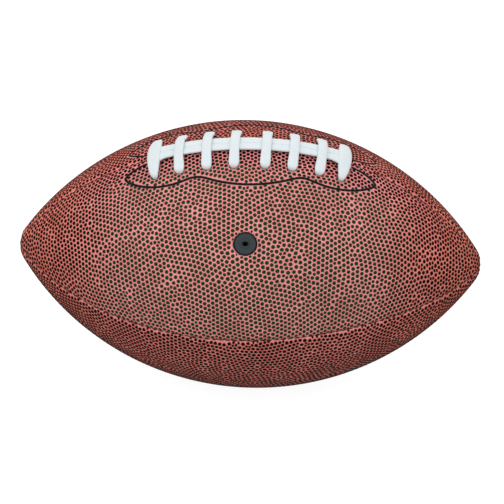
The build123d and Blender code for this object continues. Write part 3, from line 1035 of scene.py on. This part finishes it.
def valve_plug(material):
    """Moulded plug turned about the valve's axis, with an oval needle mouth inside a low lip."""
    radius, height, across_share = np.array(plug_outline).T
    angle = np.linspace(0, 2 * pi, plug_sides, endpoint=False)
    axis = np.array([0, -sin(valve_turn), cos(valve_turn)])
    across = np.array([0, -cos(valve_turn), -sin(valve_turn)])
    centre = np.array([0, 0, axis_height]) + axis * plug_face
    points = (
        centre
        + (np.outer(radius, np.cos(angle)) * mm)[..., None] * [1, 0, 0]
        + (np.outer(radius * across_share, np.sin(angle)) * mm)[..., None] * across
        + (np.outer(height, np.ones_like(angle)) * mm)[..., None] * axis
    ).reshape(-1, 3)
    count = len(radius)
    ring = np.arange(count)[:, None] * plug_sides
    beyond = (ring + plug_sides) % (count * plug_sides)
    here = np.arange(plug_sides)
    after = (here + 1) % plug_sides
    quads = np.stack([ring + here, ring + after, beyond + after, beyond + here], axis=-1).reshape(-1, 4)
    faces = facing_out(points, [quads])
    piece = new_piece("rubber_valve_plug", points, faces, material, "valve_rubber", body="plug")
    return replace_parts(piece, "valve_plug")


def add_camera():
    """Camera on a line to the ball's middle, turned about that line, with the ball at its pixel."""
    back = Vector(
        (
            sin(camera_azimuth) * cos(camera_elevation),
            -cos(camera_azimuth) * cos(camera_elevation),
            sin(camera_elevation),
        )
    )
    right = Vector((cos(camera_azimuth), sin(camera_azimuth), 0))
    up = back.cross(right)
    axes = Matrix((right, up, back)).transposed() @ Matrix.Rotation(camera_roll, 3, "Z")
    data = bpy.data.cameras.new("camera")
    data.sensor_width = sensor_width
    data.lens = focal_pixels * sensor_width / picture_side
    data.shift_x = (picture_side / 2 - ball_pixel[0]) / picture_side
    data.shift_y = (ball_pixel[1] - picture_side / 2) / picture_side
    camera = bpy.data.objects.new("camera", data)
    camera.matrix_world = Matrix.Translation(
        Vector((0, 0, axis_height)) + back * camera_distance
    ) @ axes.to_4x4()
    bpy.context.scene.collection.objects.link(camera)
    bpy.context.scene.camera = camera


def add_softbox(name, azimuth, elevation, distance, side, power):
    """Square lamp that faces the ball from an azimuth and elevation in degrees."""
    a, e = radians(azimuth), radians(elevation)
    data = bpy.data.lights.new(name, "AREA")
    data.size = side
    data.energy = power
    away = Vector((sin(a) * cos(e), -cos(a) * cos(e), sin(e)))
    lamp = bpy.data.objects.new(name, data)
    lamp.location = Vector((0, 0, axis_height)) + away * distance
    lamp.rotation_euler = away.to_track_quat("Z", "Y").to_euler()
    bpy.context.scene.collection.objects.link(lamp)


def seen_directly(tree):
    """Socket that is 1 on camera, glossy and transmission rays."""
    path = node(tree, "ShaderNodeLightPath").outputs
    some = node(
        tree, "ShaderNodeMath", {0: path["Is Camera Ray"], 1: path["Is Glossy Ray"]}, operation="MAXIMUM"
    )
    every = node(
        tree, "ShaderNodeMath", {0: some.outputs[0], 1: path["Is Transmission Ray"]}, operation="MAXIMUM"
    )
    return every.outputs[0]


def add_world():
    """Soft pale world that looks white."""
    world = bpy.data.worlds.new("studio")
    world.use_nodes = True
    tree = world.node_tree
    tree.nodes.clear()
    strength = node(
        tree, "ShaderNodeMapRange", {"Value": seen_directly(tree), "To Min": world_light, "To Max": 1.0}
    )
    background = node(
        tree, "ShaderNodeBackground", {"Color": (1, 1, 1, 1), "Strength": strength.outputs["Result"]}
    )
    node(tree, "ShaderNodeOutputWorld", {"Surface": background.outputs[0]})
    bpy.context.scene.world = world


def add_floor():
    """Floor of matt pale paint, which looks white and takes the ball's soft shadow."""
    material, tree, shader = new_material("pale_floor_paint")
    shader.inputs["Base Color"].default_value = linear("#909090")
    shader.inputs["Roughness"].default_value = 0.9
    shader.inputs["Emission Color"].default_value = (1, 1, 1, 1)
    glow = node(tree, "ShaderNodeMath", {0: seen_directly(tree), 1: floor_lift}, operation="MULTIPLY")
    tree.links.new(glow.outputs[0], shader.inputs["Emission Strength"])
    mesh = bpy.data.meshes.new("floor")
    corners = np.array([(-1, -1), (1, -1), (1, 1), (-1, 1)]) * floor_half
    mesh.from_pydata([(x, y, floor_low) for x, y in corners], [], [(0, 1, 2, 3)])
    mesh.materials.append(material)
    floor = bpy.data.objects.new("floor", mesh)
    bpy.context.scene.collection.objects.link(floor)


leather = pebbled_leather()
for number, place in enumerate(panel_middles):
    leather_panel(place, leather, np.random.default_rng(number))

# Lace: tape extruded from vinyl, a cool white with a soft sheen and faint broad spots
vinyl = speckled(
    "white_vinyl_lace", "#DEE8EB", "#EAF1F4", spot=3 * mm, dull=0.55, glossy=0.4, relief=0.1 * mm
)
lace(vinyl)

# Sewn lines: twisted polyester thread drawn through wax, near black and dull, with a broken shine
black_thread = speckled(
    "waxed_black_thread", "#060809", "#0F1214",
    spot=0.4 * mm, dull=0.8, glossy=0.6, relief=0.1 * mm, shine_level=0.15,
)
sewn_line("front", 1, black_thread)
sewn_line("back", -1, black_thread)

# Valve plug: rubber pressed in a smooth mould and handled, charcoal with a satin face
moulded_rubber = speckled(
    "moulded_black_rubber", "#232C2F", "#323C40",
    spot=1.5 * mm, dull=0.6, glossy=0.45, relief=0.05 * mm, shine_level=0.25,
)
valve_plug(moulded_rubber)

# Valve sleeve: rubber moulded over a pin, black and dull, which shows only down the open hole; it is painted
# darker than the plug's rubber as shade in the gap round the plug
sleeve_rubber_with_painted_shade = speckled(
    "black_sleeve_rubber_with_painted_shade", "#0B0D0E", "#15181A",
    spot=1.5 * mm, dull=0.8, glossy=0.6, relief=0.05 * mm, shine_level=0.2,
)

# Linings and facings: unbleached cotton woven plain and glued to the leather, beige, rough and slubby
backing = speckled(
    "cotton_backing_cloth", "#CFC4AE", "#B3A78F", spot=0.8 * mm, dull=0.95, glossy=0.85, relief=0.2 * mm
)

# Bladder and tongue: butyl rubber cured in a press and dusted with talc, black under a patchy grey bloom
bladder_rubber = speckled(
    "talc_dusted_butyl_rubber", "#26282A", "#4A4C4D", spot=4 * mm, dull=0.8, glossy=0.6, relief=0.1 * mm
)

# Seam threads: plied cord dyed dark red and waxed, with a slight shine
cord = speckled(
    "waxed_seam_cord", "#5A241F", "#7C362E", spot=0.4 * mm, dull=0.7, glossy=0.5, relief=0.1 * mm
)

# Pieces inside the ball keep their own shapes
finishes = {
    "lining": backing,
    "lace_facing": backing,
    "seam_thread": cord,
    "lace_tongue": bladder_rubber,
    "bladder": bladder_rubber,
    "valve_sleeve": sleeve_rubber_with_painted_shade,
}
for name, cad_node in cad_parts.items():
    for start, finish in finishes.items():
        if name.startswith(start):
            cad_node.data.materials.clear()
            cad_node.data.materials.append(finish)

add_camera()
add_softbox("left_softbox", azimuth=-40, elevation=46, distance=1.8, side=1.0, power=7.5)
add_softbox("right_softbox", azimuth=36, elevation=46, distance=1.8, side=1.0, power=5)
add_softbox("back_softbox", azimuth=180, elevation=25, distance=1.8, side=1.4, power=5)
add_world()
add_floor()
bpy.context.scene.view_settings.view_transform = "Standard"
